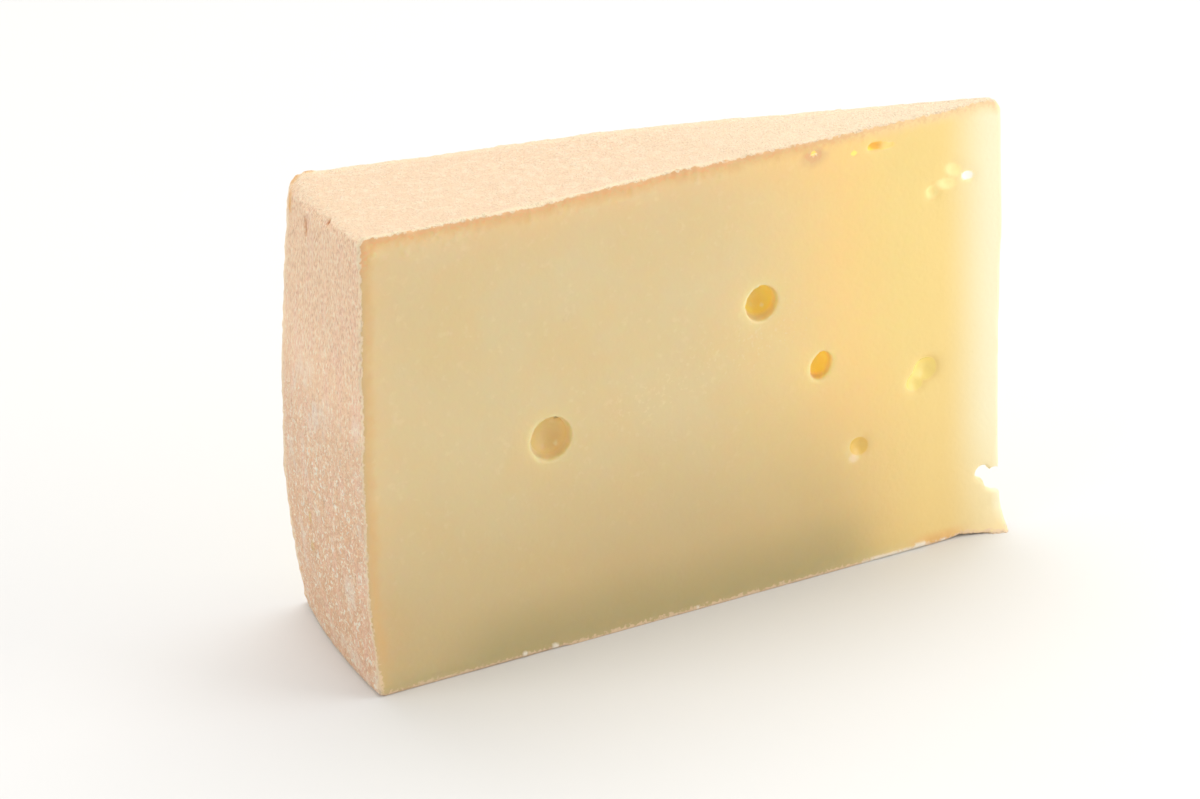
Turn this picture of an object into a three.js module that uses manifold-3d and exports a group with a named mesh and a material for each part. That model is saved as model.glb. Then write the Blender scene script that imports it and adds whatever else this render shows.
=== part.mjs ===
// A wedge cut from a round wheel of semi-hard cheese, standing on its rind.
// The rim of the wheel is at -X, the thin point of the wedge at +X, and the cut face
// with the large round eyes faces -Y. Lengths are in millimetres, angles in degrees.

import * as THREE from 'three';
import { mergeVertices } from 'three/addons/utils/BufferGeometryUtils.js';
import Module from 'manifold-3d';

// The wheel and the slice taken from it
const WHEEL_RADIUS = 120;
const SLICE_ANGLE = 18.4;
const RIM_BULGE_FRONT = 1.4;
const RIM_BULGE_BACK = 3.0;
const BOTTOM_EDGE_RADIUS = 0.8;
const TOP_EDGE_RADIUS_FRONT = 1.0;
const TOP_EDGE_RADIUS_BACK = 3.4;

// Sag below 1 puts the fullest place of the rim under half height; taper above 1 makes the bulge
// fade sooner towards the top and the underside
const RIM_SAG = 0.75;
const RIM_TAPER = 1.4;

// Height of the top rind at the point, half way along and at the rim, on each cut,
// and the shares of the way to the rim where it is at its middle height and where it turns from it
const MIDDLE_REACHED = 0.6;
const TOP_FRONT = { point: 79.3, middle: 80.4, rim: 81.7, turn: 0.7 };
const TOP_BACK = { point: 79.4, middle: 79.9, rim: 78.5, turn: 0.42 };

// The point of the wedge
const POINT_THICKNESS = 1.0;
const POINT_TOP_RADIUS = 2.4;
const POINT_SWAY = 0.5;
const POINT_SWAY_LENGTH = 90;
const POINT_SWAY_MIDDLE = 45;
const FLARE_FORWARD = 3.2;
const FLARE_OUT = 0.3;
const FLARE_LENGTH = 8;
const FLARE_HEIGHT = 5;
const CHIP_START = 10;
const CHIP_END = 4.5;
const CHIP_RISE = 0.6;

// How far the two cuts and the rind stray from true surfaces
const BACK_CUT_BOW = 1.2;
const CUT_WAVE = 0.16;
const TOP_WAVE = 0.22;
const RIM_WAVE = 0.3;
const LONG_WAVE = 60;
const SHORT_WAVE = 20;
const LONG_WAVE_SHARE = 0.65;
const SHORT_WAVE_SLANT = 0.7;
const WAVE_PHASE = { along: 0.1, across: 0.2, short: 0.3 };

// Eyes on a cut face: distance from the point along the cut, height, size of the opening,
// lean of its long axis towards the point, depth, and how far the widest place lies below the face
// as a share of the depth radius (negative for a shallow dish)
const FRONT_EYES = [
  { along: 86.5, up: 38.4, wide: 7.7, tall: 7.7, lean: 0, deep: 3.6, bury: 0.1 },
  { along: 46.3, up: 52.9, wide: 6.2, tall: 6.4, lean: 0, deep: 4.0, bury: 0.2 },
  { along: 35.1, up: 38.8, wide: 4.0, tall: 5.1, lean: 22, deep: 3.8, bury: 0.25 },
  { along: 14.7, up: 33.0, wide: 5.0, tall: 4.8, lean: 0, deep: 2.1, bury: -0.1 },
  { along: 16.8, up: 31.1, wide: 3.8, tall: 3.5, lean: 0, deep: 1.7, bury: -0.1 },
  { along: 28.0, up: 22.1, wide: 4.2, tall: 3.7, lean: 25, deep: 1.3, bury: -0.3 },
];
const BACK_EYES = [
  { along: 98.0, up: 52.5, wide: 6.6, tall: 7.4, lean: -20, deep: 4.0, bury: 0.2 },
  { along: 70.5, up: 26.0, wide: 7.6, tall: 7.0, lean: 15, deep: 3.6, bury: 0.1 },
  { along: 61.0, up: 61.5, wide: 4.2, tall: 5.0, lean: -28, deep: 3.4, bury: 0.25 },
  { along: 50.0, up: 38.0, wide: 5.0, tall: 5.4, lean: 10, deep: 2.0, bury: -0.15 },
  { along: 38.5, up: 17.5, wide: 4.4, tall: 4.0, lean: 24, deep: 2.6, bury: 0.1 },
];

// Slits and tears in the paste, given as eyes are
const FRONT_TEARS = [
  { along: 24.3, up: 76.0, wide: 3.0, tall: 1.2, lean: -8, deep: 1.6, bury: 0.0 },
  { along: 22.5, up: 75.7, wide: 5.0, tall: 0.7, lean: 3, deep: 1.2, bury: 0.0 },
  { along: 28.3, up: 75.8, wide: 1.4, tall: 1.0, lean: 0, deep: 1.0, bury: 0.0 },
  { along: 36.0, up: 77.5, wide: 1.3, tall: 0.9, lean: 0, deep: 0.9, bury: 0.0 },
  { along: 13.1, up: 65.2, wide: 2.6, tall: 2.5, lean: 0, deep: 1.3, bury: -0.1 },
  { along: 10.3, up: 66.1, wide: 4.4, tall: 1.7, lean: 12, deep: 0.8, bury: -0.2 },
  { along: 9.0, up: 68.3, wide: 3.6, tall: 2.1, lean: 32, deep: 0.7, bury: -0.2 },
  { along: 6.2, up: 66.5, wide: 2.6, tall: 2.0, lean: 10, deep: 1.1, bury: -0.1 },
];
const BACK_TEARS = [
  { along: 84.0, up: 73.5, wide: 4.2, tall: 1.1, lean: 6, deep: 1.4, bury: 0.0 },
  { along: 30.0, up: 56.0, wide: 3.0, tall: 1.4, lean: -18, deep: 1.2, bury: 0.0 },
];

// Lobes of the bite broken out of the point, low down
const NOTCH_LOBES = [
  { along: 3.7, up: 10.9, radius: 1.4 },
  { along: 1.3, up: 9.2, radius: 2.1 },
  { along: -0.9, up: 8.9, radius: 2.45 },
];
const NOTCH_REACH = 12;

// Fineness of the mesh
const STEPS_ALONG = 32;
const STEPS_ACROSS = 8;
const STEPS_UP = 20;
const END_CROWDING = 0.65;
const EYE_SIDES = 20;
const TEAR_SIDES = 12;
const RINGS_PER_SIDE = 0.7;
const LOBE_SIDES = 18;

const PASTE_COLOUR = 0xecd49a;
const PASTE_ROUGHNESS = 0.55;

const { clamp, lerp, smoothstep, degToRad } = THREE.MathUtils;
const FULL_TURN = 2 * Math.PI;
const HALF_ANGLE = degToRad(SLICE_ANGLE / 2);
const RIM_ARC = 2 * HALF_ANGLE * WHEEL_RADIUS;

// Evenly spaced shares of a length, drawn together at both ends
function crowdEnds(share, amount) {
  const eased = 0.5 - 0.5 * Math.cos(Math.PI * share);
  return lerp(share, eased, amount);
}

// A smooth, fixed unevenness between -1 and 1, at two lengths along a surface
function unevenness(a, b) {
  const longAlong = Math.sin(FULL_TURN * (a / LONG_WAVE + WAVE_PHASE.along));
  const longAcross = Math.cos(FULL_TURN * (b / LONG_WAVE + WAVE_PHASE.across));
  const short = Math.sin(FULL_TURN * ((a - SHORT_WAVE_SLANT * b) / SHORT_WAVE + WAVE_PHASE.short));
  return lerp(short, longAlong * longAcross, LONG_WAVE_SHARE);
}

// Height along one cut: a slow rise from the point, with the rim lifted or worn down
function heightAlong(top, share) {
  const toMiddle = smoothstep(share, 0, MIDDLE_REACHED);
  const toRim = smoothstep(share, top.turn, 1);
  return top.point + (top.middle - top.point) * toMiddle + (top.rim - top.middle) * toRim;
}

// Height of the top rind, at a share of the way from point to rim and from front cut to back cut
function topHeight(share, acrossShare) {
  const mean = lerp(heightAlong(TOP_FRONT, share), heightAlong(TOP_BACK, share), acrossShare);
  return mean + TOP_WAVE * unevenness(WHEEL_RADIUS * share, RIM_ARC * acrossShare);
}

// Underside: flat, with a chip out of the rind short of the point
function bottomHeight(share) {
  const along = WHEEL_RADIUS * share;
  const middle = (CHIP_START + CHIP_END) / 2;
  return CHIP_RISE * smoothstep(along, CHIP_END, middle) * (1 - smoothstep(along, middle, CHIP_START));
}

// How far a rounded edge of the given radius has turned in, at a depth from the edge
function edgeInset(depth, radius) {
  const below = clamp(radius - depth, 0, radius);
  return radius - Math.sqrt(radius * radius - below * below);
}

// Radius of the wheel's rim, barrel-shaped with rounded edges
function rimRadius(height, top, acrossShare) {
  const bulgeHere = lerp(RIM_BULGE_FRONT, RIM_BULGE_BACK, acrossShare);
  const sagged = clamp(height / top, 0, 1) ** RIM_SAG;
  const bulge = bulgeHere * Math.sin(Math.PI * sagged) ** RIM_TAPER;
  const topRadius = lerp(TOP_EDGE_RADIUS_FRONT, TOP_EDGE_RADIUS_BACK, acrossShare);
  const inset = edgeInset(top - height, topRadius) + edgeInset(height, BOTTOM_EDGE_RADIUS);
  return WHEEL_RADIUS + bulge - inset + RIM_WAVE * unevenness(height, RIM_ARC * acrossShare);
}

// Distance of the point's edge from the wheel's axis
function pointSetback(height, top) {
  const sway = POINT_SWAY * Math.sin(FULL_TURN * (height - POINT_SWAY_MIDDLE) / POINT_SWAY_LENGTH);
  return edgeInset(top - height, POINT_TOP_RADIUS) - sway;
}

// Place of a share of the wedge: towards the rim, from front to back, and from bottom to top
function wedgePoint(towardsRim, acrossShare, upShare) {
  const top = topHeight(towardsRim, acrossShare);
  const height = lerp(bottomHeight(towardsRim), top, upShare);
  const distance = lerp(pointSetback(height, top), rimRadius(height, top, acrossShare), towardsRim);
  const side = 2 * acrossShare - 1;
  const angle = side * HALF_ANGLE;

  const nearPoint = clamp(1 - distance / FLARE_LENGTH, 0, 1);
  const nearBottom = clamp(1 - height / FLARE_HEIGHT, 0, 1);
  const flare = nearPoint * nearBottom ** 2;

  const bow = BACK_CUT_BOW * 4 * towardsRim * (1 - towardsRim) * acrossShare ** 2;
  const blunt = side * (POINT_THICKNESS / 2) * (1 - towardsRim);
  const wave = side * CUT_WAVE * unevenness(distance, height);
  const x = -distance * Math.cos(angle) + FLARE_OUT * flare;
  const y = distance * Math.sin(angle) + blunt + bow + wave - FLARE_FORWARD * flare;
  return new THREE.Vector3(x, y, height);
}

// The uncut wedge: a box grid bent to shape
function wedgeGeometry() {
  const geometry = new THREE.BoxGeometry(1, 1, 1, STEPS_ALONG, STEPS_ACROSS, STEPS_UP);
  const places = geometry.attributes.position;
  for (let i = 0; i < places.count; i += 1) {
    const towardsRim = crowdEnds(0.5 - places.getX(i), END_CROWDING);
    const acrossShare = 0.5 + places.getY(i);
    const upShare = crowdEnds(0.5 + places.getZ(i), 1);
    const place = wedgePoint(towardsRim, acrossShare, upShare);
    places.setXYZ(i, place.x, place.y, place.z);
  }
  return geometry;
}

// A rounded hollow to take out of one cut face; side is -1 for the front cut and 1 for the back cut
function hollowGeometry(hollow, side, sides) {
  const depthRadius = hollow.deep / (1 + hollow.bury);
  const spread = 1 / Math.sqrt(1 - hollow.bury ** 2);
  const geometry = new THREE.SphereGeometry(1, sides, Math.round(RINGS_PER_SIDE * sides));
  geometry.scale(spread * hollow.wide / 2, depthRadius, spread * hollow.tall / 2);
  geometry.rotateY(degToRad(hollow.lean));

  const acrossShare = (1 + side) / 2;
  const setback = pointSetback(hollow.up, TOP_FRONT.middle);
  const rim = rimRadius(hollow.up, TOP_FRONT.middle, acrossShare);
  const towardsRim = (hollow.along - setback) / (rim - setback);
  const upShare = hollow.up / topHeight(towardsRim, acrossShare);
  const face = wedgePoint(towardsRim, acrossShare, upShare);
  const inward = new THREE.Vector3(-Math.sin(HALF_ANGLE), -side * Math.cos(HALF_ANGLE), 0);
  geometry.rotateZ(-side * HALF_ANGLE);
  const centre = face.addScaledVector(inward, hollow.bury * depthRadius);
  return geometry.translate(centre.x, centre.y, centre.z);
}

// One lobe of the bite in the point, a round bar right through it
function lobeGeometry(lobe) {
  const geometry = new THREE.CylinderGeometry(lobe.radius, lobe.radius, NOTCH_REACH, LOBE_SIDES);
  return geometry.translate(-lobe.along, 0, lobe.up);
}

const wasm = await Module();
wasm.setup();

// A closed geometry as a solid that can be cut
function toSolid(geometry) {
  const bare = geometry.clone();
  bare.deleteAttribute('normal');
  bare.deleteAttribute('uv');
  const merged = mergeVertices(bare);
  return new wasm.Manifold(new wasm.Mesh({
    numProp: 3,
    vertProperties: new Float32Array(merged.attributes.position.array),
    triVerts: new Uint32Array(merged.index.array),
  }));
}

// A cut solid as a geometry again
function toGeometry(solid) {
  const mesh = solid.getMesh();
  const geometry = new THREE.BufferGeometry();
  geometry.setAttribute('position', new THREE.BufferAttribute(mesh.vertProperties, 3));
  geometry.setIndex(new THREE.BufferAttribute(mesh.triVerts, 1));
  geometry.computeVertexNormals();
  return geometry;
}

// Everything that is missing from the plain wedge
function cutters() {
  const hollows = [
    ...FRONT_EYES.map((eye) => hollowGeometry(eye, -1, EYE_SIDES)),
    ...BACK_EYES.map((eye) => hollowGeometry(eye, 1, EYE_SIDES)),
    ...FRONT_TEARS.map((tear) => hollowGeometry(tear, -1, TEAR_SIDES)),
    ...BACK_TEARS.map((tear) => hollowGeometry(tear, 1, TEAR_SIDES)),
  ];
  return [...hollows, ...NOTCH_LOBES.map(lobeGeometry)];
}

// The wedge with its eyes, tears and bite, centred over the middle of its underside
function cheeseGeometry() {
  let solid = toSolid(wedgeGeometry());
  for (const cutter of cutters()) {
    solid = solid.subtract(toSolid(cutter));
  }
  const geometry = toGeometry(solid);
  geometry.computeBoundingBox();
  const { min, max } = geometry.boundingBox;
  return geometry.translate(-(min.x + max.x) / 2, -(min.y + max.y) / 2, -min.z);
}

function cheeseWedge() {
  const material = new THREE.MeshStandardMaterial({
    color: PASTE_COLOUR,
    roughness: PASTE_ROUGHNESS,
    metalness: 0,
  });
  const mesh = new THREE.Mesh(cheeseGeometry(), material);
  mesh.name = 'cheese_wedge';
  return mesh;
}

const cheese = new THREE.Group();
cheese.add(cheeseWedge());

export default cheese;
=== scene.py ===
import itertools
import math

import bpy
import numpy as np
from mathutils import Matrix, Vector
from mathutils.bvhtree import BVHTree


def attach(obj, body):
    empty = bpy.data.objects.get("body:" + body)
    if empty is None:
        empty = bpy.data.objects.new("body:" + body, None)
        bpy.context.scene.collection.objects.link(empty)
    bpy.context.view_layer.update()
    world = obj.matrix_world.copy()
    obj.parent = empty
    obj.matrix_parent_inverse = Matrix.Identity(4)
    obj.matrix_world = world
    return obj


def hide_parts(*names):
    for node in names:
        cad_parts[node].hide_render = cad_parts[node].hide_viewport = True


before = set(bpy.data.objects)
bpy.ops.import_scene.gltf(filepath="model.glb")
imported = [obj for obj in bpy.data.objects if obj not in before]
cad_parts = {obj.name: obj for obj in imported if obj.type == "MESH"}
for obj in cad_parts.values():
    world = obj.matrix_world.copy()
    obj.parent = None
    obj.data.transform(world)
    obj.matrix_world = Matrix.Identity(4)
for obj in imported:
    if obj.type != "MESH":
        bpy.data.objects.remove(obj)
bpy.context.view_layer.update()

MM = 0.001
NODE = "cheese_wedge"

# The wedge, in millimetres, in the frame of the solid, and half its angle
AXIS_X = 60.96
AXIS_Y = -0.08
HALF_ANGLE = math.radians(9.2)
RIM_FROM = 115.5
TOP_FROM = 77.0
BOTTOM_TO = 1.6

# The two cuts, by the sign of Y, and how squarely a face of rind looks outwards
FRONT_SIDE = -1
BACK_SIDE = 1
FLAT_ENOUGH = 0.55
TINY = 1e-6

# How finely the surface is divided and how it is smoothed, with lengths in millimetres
VOXEL = 0.4
MOST_TRIANGLES = 196000
SMOOTH_ROUNDS = 2
SMOOTH_FACTOR = 0.5
CUT_FLATNESS = 0.985
CUT_MARGIN = 2.5
EYE_MARGIN = 1.5
SOFT_ROUNDS = 30
DEPTH_LIMIT = 14.0

# The camera, fitted to the corners of the wedge, in degrees and millimetres
PHOTO_WIDTH = 1200
FOCAL_PIXELS = 7139
SENSOR = 36.0
CAMERA_AZIMUTH = -19.47
CAMERA_ELEVATION = 24.98
CAMERA_ROLL = -1.76
CAMERA_DISTANCE = 1181.8
CAMERA_TARGET = (-11.90, -2.77, 38.4)
CAMERA_CLIP = 50.0

# The lattice noise: what mixes the numbers of a cell into one value
LATTICE_FACTORS = np.array([73856093, 19349663, 83492791], dtype=np.int64)
SEED_FACTOR = 2654435761
HASH_FACTORS = (np.uint64(0xFF51AFD7ED558CCD), np.uint64(0xC4CEB9FE1A85EC53))
HASH_SHIFT = np.uint64(33)
UNUSED_BITS = np.uint64(11)
HALF_RANGE = float(1 << 52)

# One seed for each use of the noise
SEEDS = {
    "wrinkle": 11,
    "pimple": 12,
    "swell": 13,
    "lump": 14,
    "drag": 21,
    "dimple": 22,
    "edge wave": 31,
    "edge tooth": 32,
    "grains": 33,
    "fringe": 34,
    "burr": 41,
    "torn": 42,
    "lip": 51,
}


def cell_values(cells, seed):
    """A repeatable number from -1 to 1 for each cell of a lattice."""
    mixed = (cells.astype(np.int64) * LATTICE_FACTORS).sum(axis=1) + seed * SEED_FACTOR
    mixed = mixed.astype(np.uint64)
    for factor in HASH_FACTORS:
        mixed ^= mixed >> HASH_SHIFT
        mixed *= factor
    mixed ^= mixed >> HASH_SHIFT
    return (mixed >> UNUSED_BITS).astype(float) / HALF_RANGE - 1.0


def smooth_noise(points, size, seed):
    """Smooth noise from -1 to 1 whose bumps are about size across."""
    scaled = points / np.asarray(size, dtype=float)
    base = np.floor(scaled)
    part = scaled - base
    fade = part ** 3 * (part * (part * 6 - 15) + 10)
    total = np.zeros(len(points))
    for corner in itertools.product((0, 1), repeat=3):
        weight = np.where(np.array(corner) == 1, fade, 1 - fade).prod(axis=1)
        total += weight * cell_values(base + np.array(corner), seed)
    return total


def ease(value, start, end):
    """Rises smoothly from 0 at start to 1 at end."""
    share = np.clip((value - start) / (end - start), 0, 1)
    return share * share * (3 - 2 * share)


def front_point(along, up):
    """The point on the front cut at a distance from the wheel's axis and a height."""
    return np.array([
        AXIS_X - along * math.cos(HALF_ANGLE),
        AXIS_Y - along * math.sin(HALF_ANGLE),
        up,
    ])


def back_point(along, up):
    """The point on the back cut at a distance from the wheel's axis and a height."""
    return np.array([
        AXIS_X - along * math.cos(HALF_ANGLE),
        AXIS_Y + along * math.sin(HALF_ANGLE),
        up,
    ])


def read_points(mesh):
    """The mesh's vertices in millimetres."""
    points = np.empty(len(mesh.vertices) * 3)
    mesh.vertices.foreach_get("co", points)
    return points.reshape(-1, 3) / MM


def write_points(mesh, points):
    """Moves the mesh's vertices to points in millimetres."""
    mesh.vertices.foreach_set("co", (points * MM).astype(np.float32).ravel())
    mesh.update()


def read_normals(mesh):
    """The normals at the mesh's vertices."""
    normals = np.empty(len(mesh.vertices) * 3)
    mesh.vertex_normals.foreach_get("vector", normals)
    return normals.reshape(-1, 3)


def applied(piece):
    """Replaces the piece's mesh by what its modifiers make of it."""
    graph = bpy.context.evaluated_depsgraph_get()
    result = bpy.data.meshes.new_from_object(piece.evaluated_get(graph))
    piece.modifiers.clear()
    piece.data = result


def turned(piece, angle):
    """Turns the piece's mesh about the upright axis."""
    piece.data.transform(Matrix.Rotation(angle, 4, "Z"))
    piece.data.update()


def radius_of(points):
    """Distance from the wheel's axis."""
    return np.hypot(points[:, 0] - AXIS_X, points[:, 1] - AXIS_Y)


# Eyes and slits on the cuts: distance from the axis, height, width, tallness, lean in degrees
SHALLOW_EYES = [
    (14.7, 33.0, 5.0, 4.8, 0),
    (16.8, 31.1, 3.8, 3.5, 0),
    (28.0, 22.1, 4.2, 3.7, 25),
]
FRONT_EYES = SHALLOW_EYES + [
    (86.5, 38.4, 7.7, 7.7, 0),
    (46.3, 52.9, 6.2, 6.4, 0),
    (35.1, 38.8, 4.0, 5.1, 22),
    (24.3, 76.0, 3.0, 1.2, -8),
    (22.5, 75.7, 5.0, 0.7, 3),
    (28.3, 75.8, 1.4, 1.0, 0),
    (36.0, 77.5, 1.3, 0.9, 0),
]
BACK_EYES = [
    (98.0, 52.5, 6.6, 7.4, -20),
    (70.5, 26.0, 7.6, 7.0, 15),
    (61.0, 61.5, 4.2, 5.0, -28),
    (50.0, 38.0, 5.0, 5.4, 10),
    (38.5, 17.5, 4.4, 4.0, 24),
    (84.0, 73.5, 4.2, 1.1, 6),
    (30.0, 56.0, 3.0, 1.4, -18),
]
# The torn patch near the point, a little wider than its tears
TORN_PATCH = [
    (13.1, 65.2, 3.2, 3.1, 0),
    (10.4, 66.1, 5.4, 2.6, 12),
    (9.0, 68.3, 4.6, 3.0, 32),
    (6.2, 66.5, 3.4, 2.8, 10),
]
SLIT = [(23.4, 76.0, 4.6, 1.4, 9), (22.5, 75.7, 5.2, 0.9, 3)]
# A bright spot in the torn patch, painted white as light coming through the thinnest paste
WHITE_LIGHT_SPOT = [(6.2, 66.6, 2.6, 1.9, 10)]
PINHOLE = (-22.8, -11.5, 40.7)
PINHOLE_RADIUS = 0.5
# Glints painted as pale spots in two eyes, as painted highlights, and a rubbed pale patch, as a place, a
# radius and how much taller than wide
PAINTED_GLINTS = [
    ((16.4, -4.6, 51.2), 0.4, 1.2),
    ((-22.9, -11.4, 36.3), 0.4, 1.8),
]
PALE_PATCH = [((32.2, -5.2, 20.2), 1.5, 0.7)]

# Loose crumbs and a peeled lip on the lower edge, as a place and a radius
CRUMBS = [
    (front_point(92.9, 0.7), 0.7),
    (front_point(87.2, 0.6), 0.8),
    (front_point(60.0, 0.5), 0.6),
    (front_point(11.8, 0.6), 0.8),
    (back_point(72.0, 0.7), 0.8),
    (back_point(41.0, 0.6), 0.7),
]
LIP_START = 16.2
LIP_END = 28.0
LIP_STEP = 0.7
LIP_RADIUS = 1.3
LIP_THINNING = 0.07
LIP_HEIGHT = 0.35
LIP_RAGGED = 0.45
LIP_RAGGED_SIZE = 1.6

# Marks on the rim, as a place, a radius and how much taller than wide: dents, ochre scars, browned burrs
RIM_PITS = [
    ((-59.0, 4.9, 74.9), 1.05, 2.0),
    ((-58.2, -5.0, 79.7), 0.8, 1.2),
    ((-60.4, 5.2, 71.2), 0.5, 1.8),
    ((-60.9, 11.0, 41.0), 0.6, 1.6),
]
RIM_SCARS = [
    ((-61.0, 3.2, 23.8), 0.75, 2.4),
    ((-60.8, 3.0, 18.4), 0.7, 2.2),
    ((-60.5, 6.8, 22.0), 0.55, 2.0),
]
BURRS = [
    ((-57.9, 15.9, 75.0), 1.9, 1.6),
    ((-56.4, 17.8, 77.6), 1.6, 1.0),
    ((-54.0, 18.5, 78.5), 1.5, 0.8),
    (back_point(120.4, 1.4), 1.3, 1.0),
]

# The faint scuff across the front cut: its ends, its width and how much of that is whole
SCUFF_FROM = front_point(71.0, 40.5)
SCUFF_TO = front_point(41.0, 48.0)
SCUFF_WIDTH = 7.0
SCUFF_CORE = 0.15

# The crumbly fringe of the top rind along the front cut: where it is widest, how wide and how uneven
FRINGE_FROM = 118.0
FRINGE_TO = 60.0
FRINGE_FADE = 16.0
FRINGE_WIDTH = 1.7
FRINGE_LEAST = 0.3
FRINGE_END = 3.0
FRINGE_MEAN = 0.75
FRINGE_UNEVEN = 0.5
FRINGE_UNEVEN_SIZE = 6.0
FRINGE_CORE = 0.4
FRINGE_HEIGHT = 0.3
TOP_FADE = (TOP_FROM - 1.0, TOP_FROM + 1.0)

# Relief of the rind: the size of its bumps, their height and what the rim adds to it, in millimetres
WRINKLE_SIZE = (0.6, 0.6, 1.3)
WRINKLE_HEIGHT = 0.02
WRINKLE_RIM = 0.08
PIMPLE_SIZE = 0.8
PIMPLE_HEIGHT = 0.05
SWELL_SIZE = (5.0, 5.0, 8.0)
LUMP_SIZE = (2.0, 2.0, 3.0)
SWELL_HEIGHT = 0.04
SWELL_RIM = 0.04

# Relief of the cuts and of their edge with the rind, in millimetres, and the share of the edge's at the back
DRAG_SIZE = (9.0, 9.0, 2.6)
DRAG_HEIGHT = 0.022
DIMPLE_SIZE = 3.0
DIMPLE_HEIGHT = 0.02
EDGE_REACH = 0.6
EDGE_WAVE_SIZE = 3.2
EDGE_WAVE_HEIGHT = 0.18
EDGE_TOOTH_SIZE = 1.1
EDGE_TOOTH_HEIGHT = 0.22
EDGE_AT_BACK = 0.45
GRAIN_SIZE = 0.9
GRAIN_BESIDE = 0.5
GRAIN_HEIGHT = 0.2

# How far each mark stands out or goes in, and the size of its unevenness, in millimetres
TORN_HEIGHT = 0.12
TORN_SIZE = 1.3
CRUMB_HEIGHT = 0.5
BURR_HEIGHT = 0.25
BURR_BLOTCH_SIZE = 1.5
SCAR_HEIGHT = 0.3
PIT_DEPTH = 0.55
PINHOLE_DEPTH = 0.5
SLIT_DEPTH = 0.2

# How blotchy a burr is, and how much of a spot's radius is whole
BURR_BLOTCH = 0.2
SPOT_CORE = 0.35

# Where the relief of each region fades in or out, in millimetres, and which slopes are no longer upright
RIND_FADE = (-0.5, 0.3)
CUT_FADE = (0.1, 1.5)
POINT_FADE = (0.5, 6.0)
UNDERSIDE_FADE = (0.15, 1.0)
UPRIGHT_FADE = (0.45, 0.75)

# From which share of a mark its relief or its colour begins, and from which it is whole
TORN_RIM = (0.0, 0.3)
TORN_STAIN = (0.0, 0.9)
SLIT_RIM = (0.0, 0.5)
SLIT_STAIN = (0.0, 0.35)
WHITE_LIGHT_FADE = (0.0, 0.5)
CRUMB_STAIN = (0.2, 0.55)


def inside_eyes(points, eyes, side, margin=0.0):
    """1 in the middle of each eye of a cut, 0 from its lip, or a margin beyond it, outwards."""
    towards_point = (points[:, 0] - AXIS_X) / math.cos(HALF_ANGLE)
    on_side = (points[:, 1] - AXIS_Y) * side > 0
    total = np.zeros(len(points))
    for along, up, wide, tall, lean in eyes:
        sideways = towards_point + along
        upwards = points[:, 2] - up
        turn = math.radians(lean)
        short = (sideways * math.cos(turn) - upwards * math.sin(turn)) / (0.5 * wide + margin)
        long = (sideways * math.sin(turn) + upwards * math.cos(turn)) / (0.5 * tall + margin)
        total = np.maximum(total, 1 - short ** 2 - long ** 2)
    return np.where(on_side, np.clip(total, 0, 1), 0)


def mark_plain(piece):
    """A vertex group with the plain parts of both cuts and the underside, which need fewer points."""
    points = read_points(piece.data)
    normals = read_normals(piece.data)
    front = np.array([math.sin(HALF_ANGLE), -math.cos(HALF_ANGLE), 0])
    back = np.array([math.sin(HALF_ANGLE), math.cos(HALF_ANGLE), 0])
    facing = np.maximum(normals @ front, normals @ back)
    radius = radius_of(points)
    cut = (
        (facing > CUT_FLATNESS)
        & (points[:, 2] > CUT_MARGIN)
        & (points[:, 2] < TOP_FROM)
        & (radius > CUT_MARGIN)
        & (radius < RIM_FROM + CUT_MARGIN)
    )
    for marks, side in ((FRONT_EYES + TORN_PATCH, FRONT_SIDE), (BACK_EYES, BACK_SIDE)):
        cut &= inside_eyes(points, marks, side, EYE_MARGIN) <= 0
    underside = normals[:, 2] < -CUT_FLATNESS
    group = piece.vertex_groups.new(name="plain")
    group.add(np.flatnonzero(cut | underside).tolist(), 1.0, "REPLACE")
    return group


def soften_shallow_marks(piece):
    """Rounds the lips of the shallow eyes and tears near the point, so that they run into one another."""
    group = piece.vertex_groups.new(name="shallow")
    points = read_points(piece.data)
    share = inside_eyes(points, TORN_PATCH + SHALLOW_EYES, FRONT_SIDE, EYE_MARGIN)
    group.add(np.flatnonzero(share > 0).tolist(), 1.0, "REPLACE")
    smooth = piece.modifiers.new("Soften", "SMOOTH")
    smooth.factor = SMOOTH_FACTOR
    smooth.iterations = SOFT_ROUNDS
    smooth.vertex_group = group.name
    applied(piece)
    piece.vertex_groups.clear()


def dense_copy(node):
    """A finely and evenly divided copy of the solid, coarser on the plain cuts."""
    piece = bpy.data.objects.new("cheese", node.data.copy())
    bpy.context.scene.collection.objects.link(piece)
    turned(piece, -HALF_ANGLE)
    remesh = piece.modifiers.new("Remesh", "REMESH")
    remesh.mode = "VOXEL"
    remesh.voxel_size = VOXEL * MM
    applied(piece)
    turned(piece, HALF_ANGLE)
    smooth = piece.modifiers.new("Smooth", "SMOOTH")
    smooth.factor = SMOOTH_FACTOR
    smooth.iterations = SMOOTH_ROUNDS
    applied(piece)
    soften_shallow_marks(piece)
    group = mark_plain(piece)
    triangles = sum(len(polygon.vertices) - 2 for polygon in piece.data.polygons)
    thin = piece.modifiers.new("Decimate", "DECIMATE")
    thin.ratio = min(1.0, MOST_TRIANGLES / triangles)
    thin.vertex_group = group.name
    applied(piece)
    piece.vertex_groups.clear()
    return piece


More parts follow.
